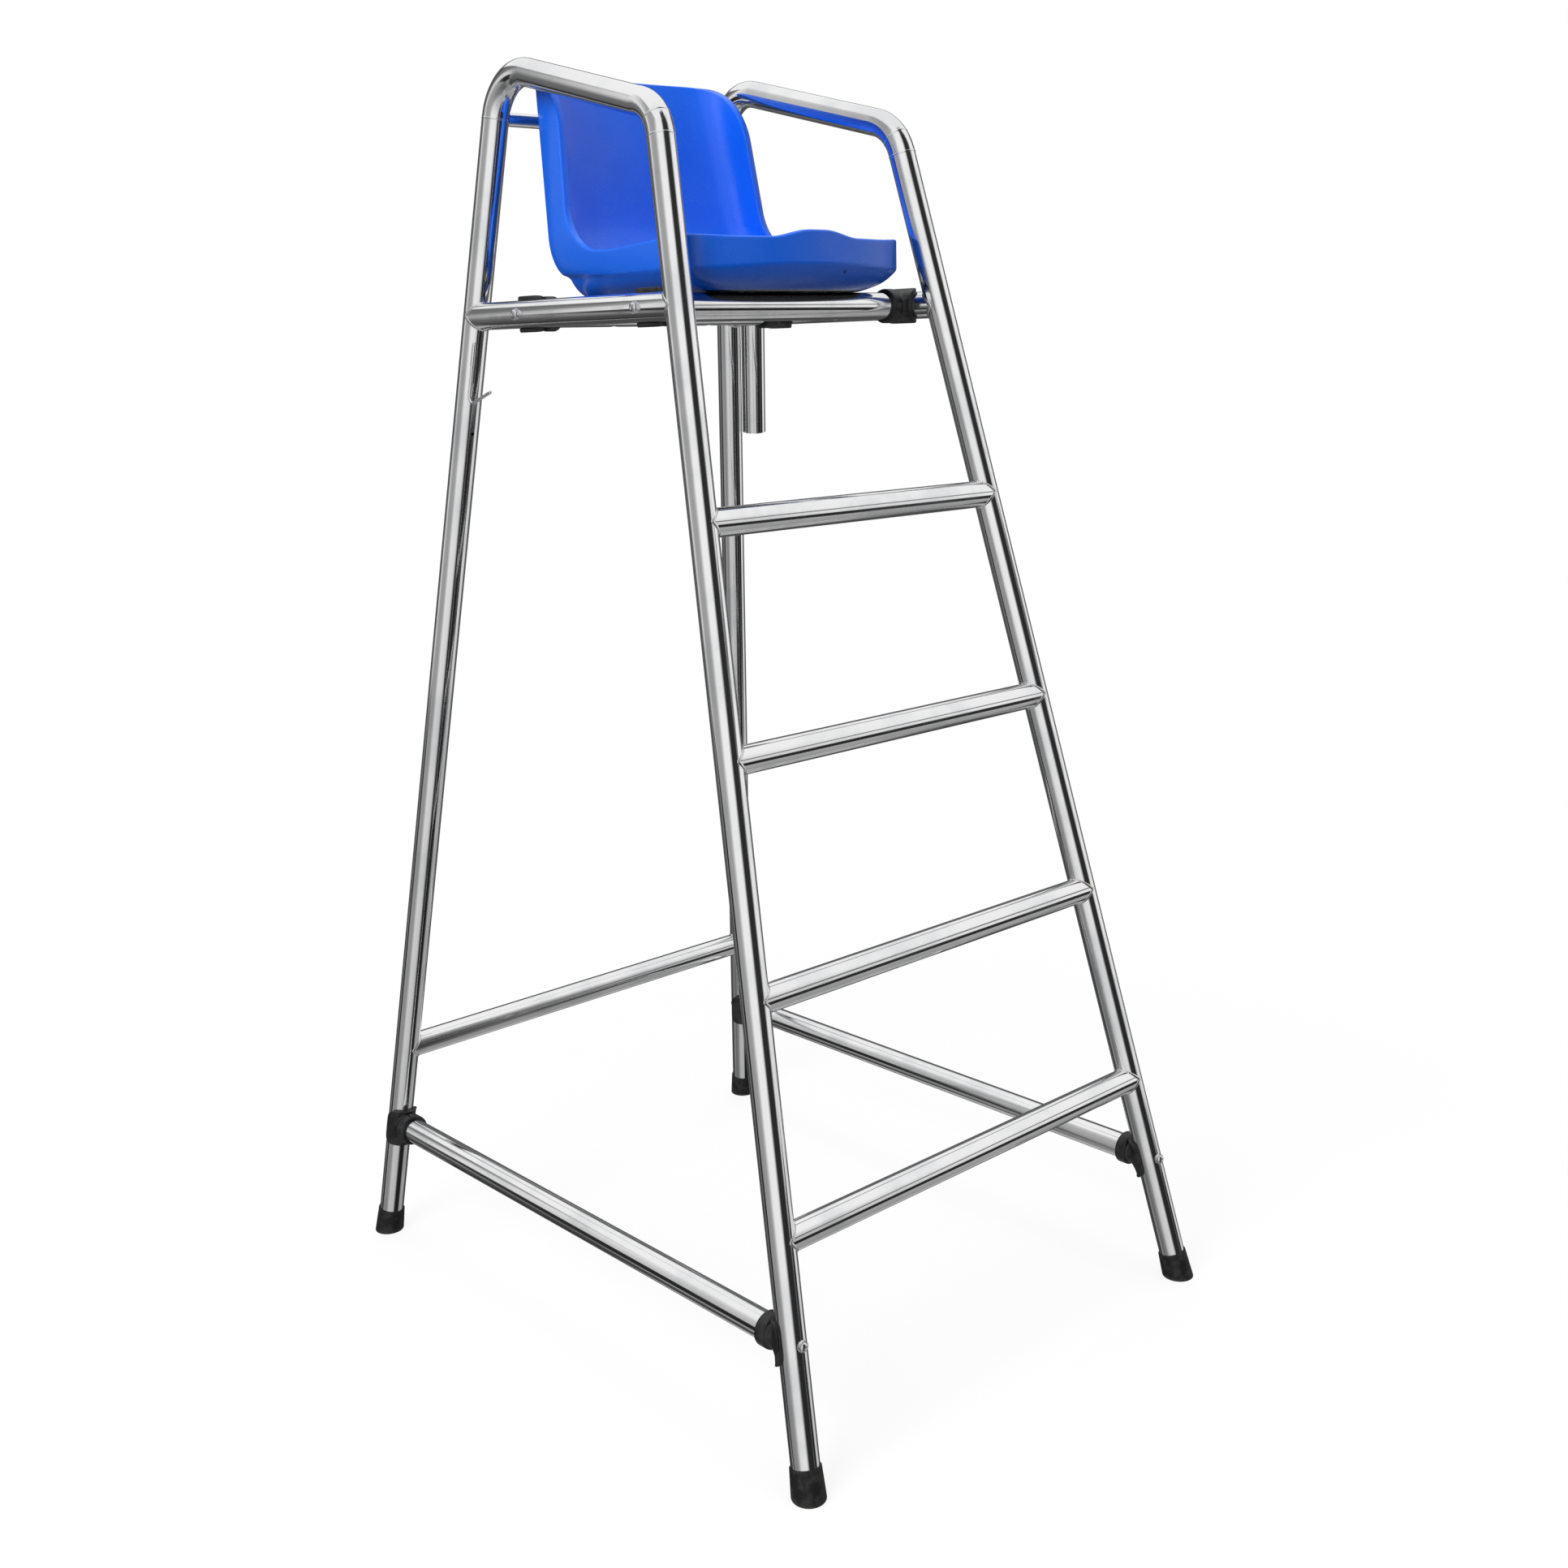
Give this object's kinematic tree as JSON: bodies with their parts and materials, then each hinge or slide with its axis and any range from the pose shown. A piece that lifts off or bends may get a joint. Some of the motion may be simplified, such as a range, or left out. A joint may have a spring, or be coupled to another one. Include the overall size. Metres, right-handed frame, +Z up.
{
  "type": "lifeguard chair",
  "caption": "Tall lifeguard chair of polished steel tube with ladder rungs, curved armrests, a moulded bucket seat, an umbrella tube and a ring hook.",
  "frame": {"origin": "middle of the feet's rectangle, on the floor", "axes": "+Z up, -Y the ladder side that the seated person faces, +X to the chair's right as seen from the front with the ladder towards the viewer"},
  "size_m": [0.8724, 1.1149, 1.8937],
  "materials": {
    "tube_steel": "mirror polished stainless tube",
    "fastener_steel": "bright",
    "connector_plastic": "satin black moulding",
    "seat_plastic": "semi-gloss moulded blue",
    "foot_rubber": "matt black"
  },
  "bodies": {
    "root": {"armrest_left": "tube_steel", "armrest_right": "tube_steel", "back_bar": "tube_steel", "connector_bolts": "fastener_steel", "connector_washers": "fastener_steel", "foot_front_left": "foot_rubber", "foot_front_right": "foot_rubber", "foot_rear_left": "foot_rubber", "foot_rear_right": "foot_rubber", "front_leg_left": "tube_steel", "front_leg_right": "tube_steel", "joint_ring_front_left": "fastener_steel", "joint_ring_front_right": "fastener_steel", "joint_ring_rear_left": "fastener_steel", "joint_ring_rear_right": "fastener_steel", "life_ring_hook": "tube_steel", "rear_leg_left": "tube_steel", "rear_leg_right": "tube_steel", "rear_stretcher": "tube_steel", "rung_1": "tube_steel", "rung_2": "tube_steel", "rung_3": "tube_steel", "rung_4": "tube_steel", "seat_bolts": "fastener_steel", "seat_connector_front_left": "connector_plastic", "seat_connector_front_right": "connector_plastic", "seat_connector_rear_left": "connector_plastic", "seat_connector_rear_right": "connector_plastic", "seat_cross_tube_front": "tube_steel", "seat_cross_tube_rear": "tube_steel", "seat_inserts": "fastener_steel", "seat_plug_front_left": "fastener_steel", "seat_plug_front_right": "fastener_steel", "seat_plug_rear_left": "fastener_steel", "seat_plug_rear_right": "fastener_steel", "seat_rail_left": "tube_steel", "seat_rail_right": "tube_steel", "seat_shell": "seat_plastic", "seat_washers": "fastener_steel", "side_stretcher_left": "tube_steel", "side_stretcher_right": "tube_steel", "stretcher_connector_front_left": "connector_plastic", "stretcher_connector_front_right": "connector_plastic", "stretcher_connector_rear_left": "connector_plastic", "stretcher_connector_rear_right": "connector_plastic", "stretcher_plug_front_left": "fastener_steel", "stretcher_plug_front_right": "fastener_steel", "stretcher_plug_rear_left": "fastener_steel", "stretcher_plug_rear_right": "fastener_steel", "umbrella_tube": "tube_steel"}
  },
  "joints": []
}
